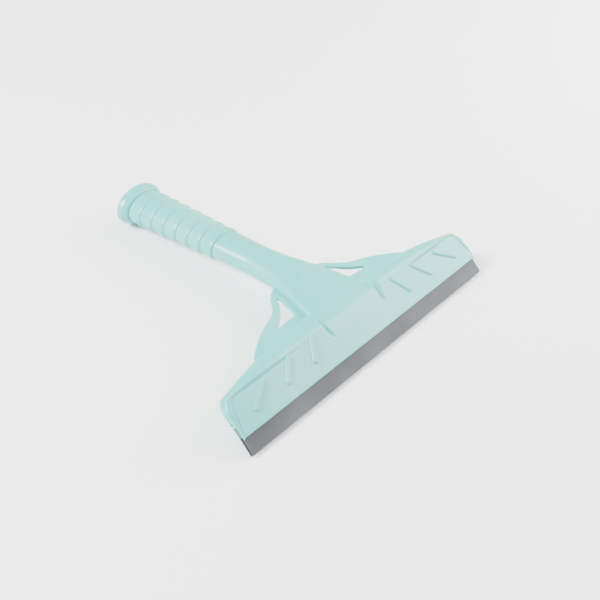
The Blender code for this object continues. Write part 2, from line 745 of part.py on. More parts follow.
def lay_down(frame):
    """Turn and lift the tool so that it rests on Z = 0, centred on X and Y."""
    lip_y, lip_z = on_blade(0, BLADE_REAR)
    collar_y = GRIP_END + COLLAR_WIDEST
    tilt = -atan2(-COLLAR_HALF * OVAL - lip_z, collar_y - lip_y)
    frame.rotation_euler = (tilt, 0, 0)
    bpy.context.view_layer.update()
    graph = bpy.context.evaluated_depsgraph_get()
    corners = []
    for obj in bpy.context.scene.objects:
        if obj.type == "MESH" and not obj.hide_render:
            solid = obj.evaluated_get(graph)
            corners += [obj.matrix_world @ v.co for v in solid.to_mesh().vertices]
            solid.to_mesh_clear()
    ys = [p.y for p in corners]
    frame.location = (0, -(min(ys) + max(ys)) / 2, -min(p.z for p in corners))
    bpy.context.view_layer.update()


def main():
    for obj in list(bpy.data.objects):
        bpy.data.objects.remove(obj)
    frame = bpy.data.objects.new("tool_frame", None)
    bpy.context.scene.collection.objects.link(frame)
    slide = bpy.data.objects.new("blade_slide", None)
    bpy.context.scene.collection.objects.link(slide)
    slide.parent = frame
    slot_y, slot_z = on_blade(LIP_TOP, SLOT_MID)
    slide.location = (0, slot_y, slot_z)

    mint_head = make_material("mint_plastic", MINT, 0.28)
    rubber = make_material("foam_rubber", FOAM_GREY, 0.75)
    pale = make_material("pale_plastic", PALE_PLASTIC, 0.4)
    steel = make_material("screw_steel", STEEL, 0.35, 1.0)

    build_front_shell(frame, mint_head)
    build_rear_shell(frame, mint_head)
    build_grip(frame, mint_head)
    build_collar(frame, mint_head)
    build_socket(frame, pale)
    build_blade(slide, rubber, mint_head)
    build_screws(frame, steel)
    lay_down(frame)


main()
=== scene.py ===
"""Window cleaning squeegee: fine surfaces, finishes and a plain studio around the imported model.

Shapes are worked out in the tool frame, in millimetres: X along the blade, Y from the lip to
the handle's end, Z out of the front face, with Y = 0 at the lip and Z = 0 on the handle's axis.
The mount on the collar's end says where that frame lies in the row frame.
"""

import json
from math import cos, pi, radians, sin, tan

import bmesh
import bpy
import numpy as np
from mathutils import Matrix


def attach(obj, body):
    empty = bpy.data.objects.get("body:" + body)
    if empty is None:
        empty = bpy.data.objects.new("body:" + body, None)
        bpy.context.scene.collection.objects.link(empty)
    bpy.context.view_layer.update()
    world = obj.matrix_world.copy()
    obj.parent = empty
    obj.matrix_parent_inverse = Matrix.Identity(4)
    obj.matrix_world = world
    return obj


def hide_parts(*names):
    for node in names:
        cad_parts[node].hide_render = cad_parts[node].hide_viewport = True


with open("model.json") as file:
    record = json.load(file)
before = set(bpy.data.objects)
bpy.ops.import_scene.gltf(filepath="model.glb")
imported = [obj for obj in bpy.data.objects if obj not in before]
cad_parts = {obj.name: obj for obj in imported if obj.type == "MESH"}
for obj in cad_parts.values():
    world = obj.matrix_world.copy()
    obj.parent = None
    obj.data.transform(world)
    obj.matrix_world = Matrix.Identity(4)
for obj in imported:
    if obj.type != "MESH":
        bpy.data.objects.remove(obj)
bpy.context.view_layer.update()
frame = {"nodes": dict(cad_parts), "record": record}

MM = 0.001

# Head, slot and blade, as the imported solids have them
HEAD_HALF = 125.5
BLADE_HALF = 125.0
BLADE_TILT = radians(45)
LIP_DROP = 23.9
REACH = 11.0                      # how far the lips stand out of the slot
LIP_TOP = 18.0
LIP_THICK = 1.1
LIP_CHAMFER = 0.6
BLADE_FRONT = -0.3
BLADE_REAR = -3.6
SLOT_REAR = -3.9
SLOT_TOP = 20.5
LEDGE_TOP = 22.0
HEAD_REAR = -5.5
FRONT_WALL = 1.6
SEAM = 0.15                       # a shell's distance from the parting surface
PARTING_SLOPE = 0.152
PARTING_DROP = 9.14               # how far its plane lies below the handle's axis at the lip
PANEL_LEAN = 0.1                  # how the panel leans back from the blade's plane
PANEL_SLOPE = tan(BLADE_TILT - np.arctan(PANEL_LEAN))
CREASE_Y = 25.1
CORNER = 8.0
CORNER_FALL = 4.5                 # how much lower the ridge is at the head's sides
FALL_START = 75.0
WEB_THICK = 2.4
HOOK = 1.1                        # depth behind the blade of the groove for the spine's hook
SLOT_END_INSET = 0.4              # the slot wall's end behind the head's side, and its slant
SLOT_END_SLANT = 0.1

# The ridge and the border round the panel
ARCH = 2.2                        # how far the ridge rises past the panel's upper end
ROLL_START = 26.6                 # where the ridge starts to roll over to the top edge
ROLL_LEAST = 3.4                  # the shortest run in which it may do so
CORNER_ROLL = 4.4                 # how far past the panel's edge a corner has rolled off
BORDER_X = 121.6                  # the border's inner side, and how it widens to the slot
BORDER_SPREAD = 0.4
BORDER_Y = 23.9                   # its inner edge along the ridge
BORDER_ROUND = 7.0
BORDER_RISE = 0.7
BORDER_SLANT = 1.2

# The dart at each end of the apron
DART_TOP = 31.5                   # Y of its upper end, and its length
DART_LENGTH = 14.0
DART_X = 28.9                     # X of its upper end, and how far it slants inwards
DART_SLANT = 2.6
DART_OUTER = 3.2                  # how wide its easy outer and steep inner sides are
DART_INNER = 1.3
DART_DEPTH = 1.9

# Fan, neck and web: stations of (Y, value)
APRON_HALF = 27.0
SEAM_Y = 42.0                     # the fan leaves the head here
FALL_Y = 33.0                     # its sides begin to fall here, fully after FALL_RUN
FALL_RUN = 7.0
GRIP_START = 131.5
NECK_HALF = 13.5                  # half width and height of the neck at the grip
NECK_HEIGHT = 9.45
TOP_EDGE = ((APRON_HALF, 42.0), (82.0, 37.0), (HEAD_HALF, 29.4))   # (X, Y)
FAN_HALF = ((CREASE_Y, 27.0), (42, 25.6), (54, 23.0), (66, 19.4), (79, 15.4), (104, 12.8),
            (GRIP_START, NECK_HALF))
FAN_SQUARE = ((30, 5.0), (42, 4.4), (54, 3.0), (79, 2.3), (90, 2.0))
UNDER_DEPTH = ((46, 2.0), (54, 4.0), (70, 7.4), (86, 9.2),
               (GRIP_START, NECK_HEIGHT))
UNDER_HALF = ((46, 9.0), (54, 12.0), (70, 16.5), (79, 15.4), (104, 12.8),
              (GRIP_START, NECK_HALF))
NECK_END = 131.4
TENON = (11.5, 7.4)               # half width and height of the neck inside the grip
TENON_SHARE = (TENON[0] / NECK_HALF, 1, TENON[1] / NECK_HEIGHT)
TENON_LENGTH = 3
ARM = ((82, 36.5), (76, 42), (62, 49.6), (51, 54), (41, 57.5), (34, 62.5), (27.5, 69.5),
       (15, 76.5))
HOLE = ((46, 47.3), (29, 48.4), (24.5, 66))
HOLE_BOW = 1.8                    # how far its outer side bows towards the neck
HOLE_ROUND = 1.5                  # how far its round corners reach along its sides
PLATE_INSET = 0.2                 # the plate's edge inside the head's
PLATE_SIDE_Y = 19.5               # where the plate's sides start
PLATE_EDGE = 0.8                  # radius of its round edges
HOLE_MARGIN = 0.3                 # how far the finished holes lie outside their outline
PLATE_STRIP = 3.4                 # width of the strips it is cut into

# Ribs on the panel: top and bottom end of each of the three on one side
RIBS = (((93.0, 22.0), (107.6, 14.0)), ((67.2, 23.4), (77.4, 14.6)), ((43.2, 24.6), (51.2, 14.8)))
RIB_HEIGHT = 1.2
RIB_FOOT = 2.3                    # half width where a rib runs out into the panel

# Grip, collar and socket
OVAL = 0.7                        # an oval's height against its width
RINGS = 7
PITCH = 10.8
GRIP_END = GRIP_START + RINGS * PITCH
GRIP_HALF = ((GRIP_START, 13.7), (GRIP_END, 16.0))
GRIP_WALL = 1.9
RING_STEP = 0.9
COLLAR_LENGTH = 10.0
COLLAR_HALF = 20.0
GROOVE_Y = 2.9                    # the collar's groove: its place, depth and width
GROOVE_DEPTH = 0.09
GROOVE_WIDTH = 0.35
SOCKET_DEPTH = 45.0
SOCKET_RADIUS = 6.5
SOCKET_INSET = 0.6                # how far the sleeve's end lies inside the collar
SOCKET_FIT = 0.3                  # the gap between the sleeve and the grip
MOUNT_X = 15.6                    # X of the mount on the collar's end

SCREWS = ((46, 32), (97, 28))
SCREW_HEAD_RADIUS = 2.3
SCREW_HEAD = 1.4
SCREW_LENGTH = 5.0
SCREW_RADIUS = 1.1
SCREW_RAISE = 0.6                 # how far a head's foot stands off the plate
SCREW_SIDES = 64
CROSS_HALF = 0.22                 # the cross in a head: half width, reach and depth
CROSS_REACH = 1.15
CROSS_DEPTH = 0.75

# Colours, linear
MINT = (0.06, 0.43, 0.40, 1)
MINT_WORN = (0.19, 0.58, 0.53, 1)
RUBBER_GREY = (0.052, 0.055, 0.060, 1)
RUBBER_WORN = (0.12, 0.125, 0.135, 1)
PALE = (0.58, 0.61, 0.61, 1)
PALE_WORN = (0.74, 0.76, 0.76, 1)
ZINC = (0.56, 0.57, 0.58, 1)
ZINC_WORN = (0.70, 0.71, 0.72, 1)
DUST = (0.70, 0.71, 0.70, 1)
FLOOR = (0.92, 0.92, 0.92, 1)


# ---------------------------------------------------------------- the tool frame

end = next(m for m in frame["record"]["mounts"] if m["name"] == "handle_end")
ALONG = np.array(end["axis"]) / np.linalg.norm(end["axis"])
ACROSS = np.array([1.0, 0.0, 0.0])
TURN = np.stack([ACROSS, ALONG, np.cross(ACROSS, ALONG)], axis=1)
END_POINT = np.array([MOUNT_X, GRIP_END + COLLAR_LENGTH, 0.0]) * MM
ORIGIN = np.array(end["pos_m"]) - TURN @ END_POINT


def in_row(points):
    """Tool-frame points in millimetres as row-frame points in metres: turn, then shift."""
    return ORIGIN + (np.asarray(points, float).reshape(-1, 3) * MM) @ TURN.T


# ---------------------------------------------------------------- curves

def step(t):
    """The smooth step 3t^2 - 2t^3, level outside 0 to 1."""
    t = np.clip(t, 0, 1)
    return t * t * (3 - 2 * t)


def eased(y, stations, width=5.0):
    """Straight interpolation through the stations, averaged over a window so corners are soft."""
    ys, values = np.array(stations, float).T
    shifts = np.linspace(-0.5, 0.5, 9) * width
    return np.mean([np.interp(y + s, ys, values) for s in shifts], axis=0)


def flowing(points, steps=8):
    """A Catmull-Rom curve through the points: cubic pieces whose slope at a point is half the
    chord between its two neighbours."""
    p = np.array(points, float)
    p = np.vstack([2 * p[0] - p[1], p, 2 * p[-1] - p[-2]])
    t = np.linspace(0, 1, steps, endpoint=False)[:, None]
    runs = [0.5 * (2 * b + (c - a) * t + (2 * a - 5 * b + 4 * c - d) * t ** 2
                   + (3 * b - a - 3 * c + d) * t ** 3)
            for a, b, c, d in zip(p, p[1:], p[2:], p[3:])]
    return np.vstack(runs + [p[-2:-1]])


def on_blade(height, depth):
    """(Y, Z) of a point given by its height above the lip and how far it is before the blade."""
    c = cos(BLADE_TILT)
    s = sin(BLADE_TILT)
    return np.array([height * c - depth * s, -LIP_DROP + height * s + depth * c])


def parting(y):
    """Height of the surface between the shells: sloped in the head, level in the neck."""
    return np.minimum(0.0, PARTING_SLOPE * y - PARTING_DROP)


FOOT = on_blade(REACH, FRONT_WALL)


def panel(y):
    """Height of the flat front panel: a plane through the slot's mouth."""
    return FOOT[1] + (y - FOOT[0]) * PANEL_SLOPE


CREST = panel(CREASE_Y)
FAN_TOP = ((0, panel(0)), (18.5, panel(18.5)), (CREASE_Y, CREST - 0.5), (33, 0.9), (43, 2.7),
           (54, 5.0), (66, 7.6), (79, 9.2), (104, 9.1), (GRIP_START, NECK_HEIGHT),
           (140, NECK_HEIGHT))


def top_edge(x):
    """Y of the head's top edge: straight runs, then a quarter circle at the corner."""
    x = np.abs(x)
    inside = np.clip(x - (HEAD_HALF - CORNER), 0, CORNER)
    xs, ys = np.array(TOP_EDGE).T
    return np.interp(x, xs, ys) - CORNER + np.sqrt(CORNER ** 2 - inside ** 2)


def border_side(y):
    """X of the border's inner edge beside the panel."""
    return BORDER_X + BORDER_SPREAD * np.maximum(17 - y, 0)


def side_foot(y):
    """Height that the head's front face comes down to at its sides."""
    return np.where(y < 18.5, np.interp(y, (6, 14.5, 18.5), (-17, -8.9, -6.18)),
                    parting(y) + SEAM)


def past_panel(x, y):
    """Distance outwards from the panel's edge, a rounded rectangle; negative inside it."""
    dx = np.maximum(np.abs(x) - (border_side(y) - BORDER_ROUND), 0)
    dy = np.maximum(y - (BORDER_Y - BORDER_ROUND), 0)
    return np.hypot(dx, dy) - BORDER_ROUND


def border(x, y):
    """How far the border stands over the panel: a smooth step in the distance from its edge.
    Along the ridge it fades with height, and towards the fan with X."""
    x = np.abs(x)
    far = past_panel(x, y)
    rise = step(far / BORDER_SLANT) - 0.4 * np.exp(-(far / 0.5) ** 2)
    side = step((x - 108) / 12)
    fade = 1 - 0.75 * step((y - CREASE_Y - 1) / 7)
    reach = 0.1 + 0.9 * step((x - 52) / 30)
    return BORDER_RISE * rise * (side + (1 - side) * fade * reach)


def ridge(x, y):
    """Head without the fan: the panel's plane, bent level past the crease by an exponential,
    with the border on it, rolled over to the top edge by sqrt(1 - u^3) and to the sides by
    sqrt(1 - u^2)."""
    past = np.maximum(y - CREASE_Y, 0)
    arch = CREST + ARCH * (1 - np.exp(-past * PANEL_SLOPE / ARCH))
    z = np.where(y < CREASE_Y, panel(y), arch) + border(x, y)
    share = np.maximum(np.abs(x) - FALL_START, 0) / (HEAD_HALF - FALL_START)
    z = z - CORNER_FALL * share ** 1.3 * step(past / 4)
    edge = top_edge(x)
    roll = np.maximum(edge - ROLL_START, ROLL_LEAST)
    u = np.clip(1 - (edge - y) / roll, 0, 1)
    floor = parting(edge) + SEAM
    z = floor + (z - floor) * np.sqrt(1 - u ** 3)
    width = np.maximum(HEAD_HALF - border_side(y) - 0.4, 0.6)
    side = np.clip((np.abs(x) - HEAD_HALF + width) / width, 0, 1) ** 2
    corner = np.clip(past_panel(x, y) / CORNER_ROLL, 0, 1) ** 1.6 * step((np.abs(x) - 98) / 18)
    side = np.maximum(side, 0.9 * corner * step((y - 14) / 6))
    foot = np.maximum(side_foot(y), np.where(u > 0, floor, -99))
    return np.maximum(foot + (z - foot) * np.sqrt(1 - side), foot)


def fan_arc(x, y):
    """Fan surface: a superellipse over the half width, standing on the parting surface. Its
    sides only fall away past FALL_Y, because the apron before that is flat."""
    top = eased(y, FAN_TOP)
    half = eased(y, FAN_HALF, 2)
    square = eased(y, FAN_SQUARE, 2)
    floor = parting(y) + SEAM
    t = np.clip(np.abs(x) / half, 0, 1)
    fall = (top - floor) * (1 - (1 - t ** square) ** (1 / square))
    return top - fall * step((y - FALL_Y) / FALL_RUN)


def dart(x, y):
    """Depth of the hollow at each end of the apron: a sine to the power 0.7 along a short slanted
    line, times a smooth step across it that is steep towards the fan's middle."""
    x = np.abs(x)
    along = np.clip((DART_TOP - y) / DART_LENGTH, 0, 1)
    centre = DART_X - DART_SLANT * along
    share = np.sin(pi * along) ** 0.7
    outer = np.clip((x - centre) / DART_OUTER, 0, 1)
    inner = np.clip((centre - x) / DART_INNER, 0, 1)
    return DART_DEPTH * share * (1 - step(np.maximum(outer, inner)))


def head_top(x, y):
    """The whole front face of the head: fan in the middle, ridge beside it, joined by a steep
    smooth step whose width closes to nothing where the fan leaves the head."""
    width = 2.2 - 1.8 * step((y - 30) / 12)
    half = eased(y, FAN_HALF, 2)
    start = half - 0.5 * width - 0.5 * width * step((y - 30) / 12)
    beside = step((np.abs(x) - start) / width)
    return fan_arc(x, y) + (ridge(x, y) - fan_arc(x, y)) * beside - dart(x, y)


# ---------------------------------------------------------------- mesh building

def sheet(points, wrap=False):
    """A grid of points (rows, columns, 3) with its quads; wrap joins the last column to the
    first."""
    rows, cols = points.shape[:2]
    index = np.arange(rows * cols).reshape(rows, cols)
    if wrap:
        index = np.hstack([index, index[:, :1]])
    quads = np.stack([index[:-1, :-1], index[:-1, 1:], index[1:, 1:], index[1:, :-1]], axis=-1)
    return points.reshape(-1, 3), quads.reshape(-1, 4).tolist()


def cap(ring):
    """One flat face over a ring of points."""
    ring = np.asarray(ring, float)
    return ring, [list(range(len(ring)))]


def prism(outline, half):
    """A bar along X from an outline of (Y, Z) points, with its two end faces. The half length is
    one number, or one for each point."""
    outline = np.array(outline, float)
    half = np.broadcast_to(np.asarray(half, float), len(outline))
    rings = [np.column_stack([x, outline]) for x in (-half, half)]
    return [sheet(np.stack(rings), wrap=True), cap(rings[0]), cap(rings[1])]


def tube(rings, ends=True):
    """A skin over rings of points; without ends the last ring meets the first."""
    rings = np.array(rings, float)
    if not ends:
        return [sheet(np.concatenate([rings, rings[:1]]), wrap=True)]
    return [sheet(rings, wrap=True), cap(rings[0]), cap(rings[-1])]


def ovals(y, half, height, count=128):
    """Oval rings across the handle: (half cos a, y, height sin a)."""
    a = np.linspace(0, 2 * pi, count, endpoint=False)
    y, half, height = [np.asarray(v, float)[:, None] for v in (y, half, height)]
    return np.stack([half * np.cos(a), y + 0 * a, height * np.sin(a)], axis=-1)


def mark_edges(mesh):
    """An attribute of how convex each point is: the mean over its edges of the turn of the
    normal along the edge, divided by the edge's length, in 1/mm."""
    count = len(mesh.vertices)
    co = np.empty(count * 3)
    mesh.vertices.foreach_get("co", co)
    co = co.reshape(-1, 3) / MM
    normal = np.array([v.vector for v in mesh.vertex_normals]).reshape(-1, 3)
    ends = np.empty(len(mesh.edges) * 2, int)
    mesh.edges.foreach_get("vertices", ends)
    a, b = ends.reshape(-1, 2).T
    run = co[b] - co[a]
    length2 = np.maximum((run ** 2).sum(1), 1e-4)
    bend = ((normal[b] - normal[a]) * run).sum(1) / length2
    total = np.bincount(a, bend, count) + np.bincount(b, bend, count)
    share = np.maximum(np.bincount(a, minlength=count) + np.bincount(b, minlength=count), 1)
    layer = mesh.attributes.new("convex", "FLOAT", "POINT")
    layer.data.foreach_set("value", np.clip(total / share, -2, 2))


def piece(name, parts, material, body, replaces=(), crease=35, soften=0.0):
    """One object from several grids and faces: merged where they meet, closed, turned outwards
    and put in the row frame. Soften adds a Bevel of that many millimetres."""
    points = []
    faces = []
    for co, part_faces in parts:
        shift = sum(len(p) for p in points)
        points.append(co)
        faces += [[i + shift for i in face] for face in part_faces]
    mesh = bpy.data.meshes.new(name)
    mesh.from_pydata(in_row(np.vstack(points)).tolist(), [], faces)
    bm = bmesh.new()
    bm.from_mesh(mesh)
    bmesh.ops.remove_doubles(bm, verts=bm.verts, dist=0.002 * MM)
    bmesh.ops.dissolve_degenerate(bm, edges=bm.edges, dist=0.0005 * MM)
    bmesh.ops.holes_fill(bm, edges=[e for e in bm.edges if e.is_boundary], sides=0)
    bmesh.ops.recalc_face_normals(bm, faces=bm.faces)
    bm.to_mesh(mesh)
    bm.free()
    mesh.shade_smooth()
    mesh.set_sharp_from_angle(angle=radians(crease))
    mark_edges(mesh)
    mesh.materials.append(material)
    obj = bpy.data.objects.new(name, mesh)
    bpy.context.scene.collection.objects.link(obj)
    if soften:
        bevel = obj.modifiers.new("soften", "BEVEL")
        bevel.width = soften * MM
        bevel.segments = 3
        bevel.limit_method = "ANGLE"
        bevel.angle_limit = radians(30)
        bevel.harden_normals = True
    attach(obj, body)
    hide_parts(*replaces)
    return obj


# ---------------------------------------------------------------- front of the head

def head_columns():
    """X of the head's columns: packed where the fan's sides fall, at the dart and at the
    corner, where they follow the quarter circle."""
    half = float(eased(SEAM_Y, FAN_HALF, 2))
    square = float(eased(SEAM_Y, FAN_SQUARE, 2))
    fall = half * np.sin(np.linspace(0.33, 1, 34) * pi / 2) ** (2 / square)
    middle = np.linspace(0, fall[0], 10, endpoint=False)
    dart = np.linspace(half, 30, 30)[1:]
    run = np.linspace(30, HEAD_HALF - 14, 50)[1:]
    inner = np.linspace(run[-1], HEAD_HALF - CORNER, 24)[1:]
    corner = HEAD_HALF - CORNER + CORNER * np.sin(np.linspace(0, pi / 2, 34))[1:]
    side = np.concatenate([middle[1:], fall, dart, run, inner, corner])
    return np.concatenate([-side[::-1], [0.0], side]), half, square


def head_rows(x):
    """Y of each row at each column: even over the panel, close at the crease, and closing in on
    the top edge by a sine."""
    edge = top_edge(x)
    crease = np.minimum(CREASE_Y, edge - 3.5)
    first = FOOT[0] + 0.5
    low = np.linspace(0, 1, 22)[:-1, None] * (crease - 2.2 - first) + first
    near = np.linspace(-2.2, 2, 19)[:-1, None] + crease
    high = np.sin(np.linspace(0, pi / 2, 34))[:, None] * (edge - crease - 2) + crease + 2
    return np.vstack([low, near, high])


def mouth_rows(x, first):
    """The wall's end at the slot: from its inner corner outwards, then round its outer corner
    on a quadratic curve to the panel's first row."""
    inner = np.broadcast_to(on_blade(REACH, 0)[:, None], (2, len(x)))
    corner = np.stack([np.full(len(x), FOOT[0]), head_top(x, np.full(len(x), FOOT[0]))])
    start = inner + 0.7 * (corner - inner)
    rows = [inner]
    for t in (0.0, 0.25, 0.5, 0.75):
        rows.append((1 - t) ** 2 * start + 2 * t * (1 - t) * corner + t ** 2 * first)
    return rows


def front_head():
    """The head's front, the fan and the upper half of the neck as one closed skin."""
    x, half, square = head_columns()
    y = head_rows(x)
    z = head_top(x[None, :], y)
    rows = mouth_rows(x, np.stack([y[0], z[0]]))
    y = np.vstack([r[0] for r in rows] + [y])
    z = np.vstack([r[1] for r in rows] + [z])
    top = np.stack([np.broadcast_to(x, y.shape), y, z], axis=-1)

    middle = BLADE_REAR / 2 + SEAM
    ledge = on_blade(LEDGE_TOP, middle)
    low = [on_blade(REACH, 0), on_blade(SLOT_TOP, 0), on_blade(SLOT_TOP, middle), ledge,
           np.array([ledge[0] + 3, parting(ledge[0] + 3) + SEAM])]
    below = np.stack([np.column_stack([x, np.full(len(x), p[0]), np.full(len(x), p[1])])
                      for p in low] + [top[-1] * [1, 1, 0]])
    below[-1, :, 2] = parting(top[-1, :, 1]) + SEAM

    inside = np.abs(x) <= half + 1e-6
    p = np.arcsin(np.clip(np.abs(x[inside]) / half, 0, 1) ** (square / 2))
    ys = np.concatenate([np.linspace(SEAM_Y, 90, 60), np.linspace(90, NECK_END, 30)[1:]])
    power = 2 / eased(ys, FAN_SQUARE, 2)[:, None]
    halves = eased(ys, FAN_HALF, 2)[:, None]
    floor = (parting(ys) + SEAM * (1 - step((ys - 70) / 8)))[:, None]
    crown = eased(ys, FAN_TOP)[:, None]
    fan_x = np.sign(x[inside]) * halves * np.sin(p) ** power
    fan_z = floor + (crown - floor) * np.cos(p).clip(0) ** power
    shape = fan_x.shape
    fan = np.stack([fan_x, np.broadcast_to(ys[:, None], shape), fan_z], axis=-1)
    fan[0] = top[-1][inside]
    base = fan.copy()
    base[..., 2] = floor
    tenon = fan[-1] * TENON_SHARE
    tenon_ring = [np.vstack([ring, (ring * [1, 1, 0])[-2:0:-1]])
                  for ring in (fan[-1], tenon, tenon + [0, TENON_LENGTH, 0])]
    sides = [cap(np.vstack([top[:, i], below[-2:0:-1, i]])) for i in (0, -1)]
    return [sheet(top), sheet(below), sheet(fan), sheet(base), *sides,
            sheet(np.stack(tenon_ring), wrap=True), cap(tenon_ring[-1])]


def panel_rib(top, bottom, sign):
    """A bar on the panel: rings at growing distance from the line between its ends, lifted by
    the cosine bell of that distance; the last ring lies inside the panel."""
    ends = np.array([[sign * px, py, float(panel(py))] for px, py in (top, bottom)])
    lift = np.array([0, -PANEL_SLOPE, 1]) / np.hypot(1, PANEL_SLOPE)
    along = (ends[0] - ends[1]) / np.linalg.norm(ends[0] - ends[1])
    across = np.cross(lift, along)
    a = np.linspace(-pi / 2, pi / 2, 20)
    turn = np.concatenate([a, a + pi])
    centre = np.repeat(ends, len(a), axis=0)
    way = np.outer(np.cos(turn), along) + np.outer(np.sin(turn), across)
    far = np.linspace(0.06, RIB_FOOT, 14)
    bell = 0.5 + 0.5 * np.cos(pi * np.clip((far - 0.8) / (RIB_FOOT - 0.8), 0, 1))
    rings = [centre + way * f + lift * (RIB_HEIGHT * h - 0.03) for f, h in zip(far, bell)]
    rings.append(centre + way * 0.8 * RIB_FOOT - lift * 0.7)
    return tube(rings)


# ---------------------------------------------------------------- rear of the head

def hole_outline(sign):
    """The curved triangle in an arm: round corners as quadratic curves, and one side bowed
    towards the neck by a parabola."""
    corners = np.array([[sign * px, py] for px, py in HOLE])
    outer, _, far = corners
    inward = np.array([-(far - outer)[1], (far - outer)[0]])
    inward = inward / np.linalg.norm(inward) * (-1 if inward[0] * sign > 0 else 1)
    points = []
    t = np.linspace(0, 1, 7)[:, None]
    for i, corner in enumerate(corners):
        before = corners[i - 1] - corner
        after = corners[(i + 1) % 3] - corner
        a = corner + before / np.linalg.norm(before) * HOLE_ROUND
        b = corner + after / np.linalg.norm(after) * HOLE_ROUND
        points.append((1 - t) ** 2 * a + 2 * t * (1 - t) * corner + t ** 2 * b)
    t = np.linspace(0.06, 0.94, 18)[:, None]
    start = points[-1][-1]
    end_point = points[0][0]
    points.append(start + (end_point - start) * t + inward * HOLE_BOW * 4 * t * (1 - t))
    return np.vstack(points)


def moved_out(outline, far):
    """A closed outline with each point moved out along the mean normal of its two sides."""
    ahead = np.roll(outline, -1, 0) - outline
    turn = np.sign(np.sum(outline[:, 0] * ahead[:, 1] - outline[:, 1] * ahead[:, 0]))
    normal = np.column_stack([ahead[:, 1], -ahead[:, 0]]) * turn
    normal = normal / np.linalg.norm(normal, axis=1)[:, None]
    before = np.roll(normal, 1, 0)
    return outline + (normal + before) / (1 + np.sum(normal * before, 1))[:, None] * far


def plate_outline():
    """The rear plate in plan: a side, a corner, the head's top edge, an arm's curve, and the
    mirror."""
    x = HEAD_HALF - PLATE_INSET - CORNER * (1 - np.cos(np.linspace(0, pi / 2, 12)))
    corner = np.column_stack([x, top_edge(x) - PLATE_INSET])
    side = np.vstack([[(corner[0, 0], PLATE_SIDE_Y)], corner, flowing(ARM)])
    return np.vstack([side, (side * [-1, 1])[::-1]])


def web_plate():
    """The rear plate: a filled flat curve with round edges and its two holes, cut into strips
    and sheared on to the parting surface."""
    curve = bpy.data.curves.new("plate", "CURVE")
    curve.dimensions = "2D"
    curve.fill_mode = "BOTH"
    curve.extrude = WEB_THICK / 2 - PLATE_EDGE
    curve.bevel_depth = PLATE_EDGE
    curve.bevel_resolution = 3
    widened = PLATE_EDGE + HOLE_MARGIN
    for outline in (moved_out(plate_outline(), -PLATE_EDGE), moved_out(hole_outline(1), widened),
                    moved_out(hole_outline(-1), widened)):
        spline = curve.splines.new("POLY")
        spline.points.add(len(outline) - 1)
        flat = np.column_stack([outline, np.zeros(len(outline)), np.ones(len(outline))])
        spline.points.foreach_set("co", flat.ravel())
        spline.use_cyclic_u = True
    holder = bpy.data.objects.new("plate", curve)
    bpy.context.scene.collection.objects.link(holder)
    mesh = bpy.data.meshes.new_from_object(holder)
    bpy.data.objects.remove(holder)
    bm = bmesh.new()
    bm.from_mesh(mesh)
    bmesh.ops.remove_doubles(bm, verts=bm.verts, dist=0.001)
    for y in np.arange(26, 78, PLATE_STRIP):
        everything = bm.verts[:] + bm.edges[:] + bm.faces[:]
        bmesh.ops.bisect_plane(bm, geom=everything, plane_co=(0, y, 0), plane_no=(0, 1, 0))
    co = np.array([v.co for v in bm.verts])
    bm.verts.index_update()
    faces = [[v.index for v in f.verts] for f in bm.faces]
    bm.free()
    co[:, 2] += parting(co[:, 1]) - WEB_THICK / 2
    return [(co, faces)]


def neck_back():
    """The lower half of the neck: half ovals that grow out of the plate's back."""
    ys = np.linspace(46, NECK_END, 70)
    a = np.linspace(0, pi, 49)
    half = eased(ys, UNDER_HALF)[:, None]
    depth = eased(ys, UNDER_DEPTH)[:, None]
    top = np.minimum(parting(ys) - 0.5, 0) * (1 - step((ys - 64) / 10))
    shape = (len(ys), len(a))
    y = np.broadcast_to(ys[:, None], shape)
    z = top[:, None] - (depth + top[:, None]) * np.sin(a)
    skin = np.stack([half * np.cos(a), y, z], axis=-1)
    flat = np.stack([skin[:, 0], skin[:, -1]], axis=1)
    end_ring = skin[-1] * TENON_SHARE
    inner = np.stack([skin[-1], end_ring, end_ring + [0, TENON_LENGTH, 0]])
    return [sheet(skin), sheet(flat), cap(skin[0]), sheet(inner),
            sheet(np.stack([inner[:, 0], inner[:, -1]], axis=1)), cap(inner[-1])]


def slot_wall():
    """The slot's rear wall and roof, with the groove that takes the spine's hook: one section
    along X, whose half length shrinks evenly with a point's depth below the wall's top."""
    def plate(y, share):
        return np.array([y, float(parting(y)) - share * WEB_THICK])
    middle = SLOT_REAR / 2 - SEAM
    hook = BLADE_REAR - HOOK
    wall_top = LEDGE_TOP + 5
    near = on_blade(wall_top, SLOT_REAR)[0]
    outline = [on_blade(REACH, SLOT_REAR), on_blade(LIP_TOP - 0.1, SLOT_REAR),
               on_blade(LIP_TOP - 0.1, hook), on_blade(SLOT_TOP, hook),
               on_blade(SLOT_TOP, middle), on_blade(LEDGE_TOP, middle), plate(near + 0.8, 0.3),
               plate(near + 2.2, 0.6), on_blade(REACH, HEAD_REAR)]
    y, z = np.array(outline, float).T
    height = y * cos(BLADE_TILT) + (z + LIP_DROP) * sin(BLADE_TILT)
    return prism(outline, HEAD_HALF - SLOT_END_INSET - SLOT_END_SLANT * (wall_top - height))


# ---------------------------------------------------------------- handle

def grip_profile():
    """(Y, lift) of the rings, a saw tooth: a round nose towards the head, then a straight fall
    to the next ring."""
    nose = np.array([(0.0, 0.06), (0.12, 0.22), (0.3, 0.48), (0.55, 0.72), (0.9, 0.90),
                     (1.4, 0.98), (1.9, 1.0), (2.6, 0.95), (4.2, 0.76), (6.4, 0.48),
                     (8.6, 0.22), (10.2, 0.05), (10.74, 0.0)])
    return np.vstack([nose + [GRIP_START + i * PITCH, 0] for i in range(RINGS)])


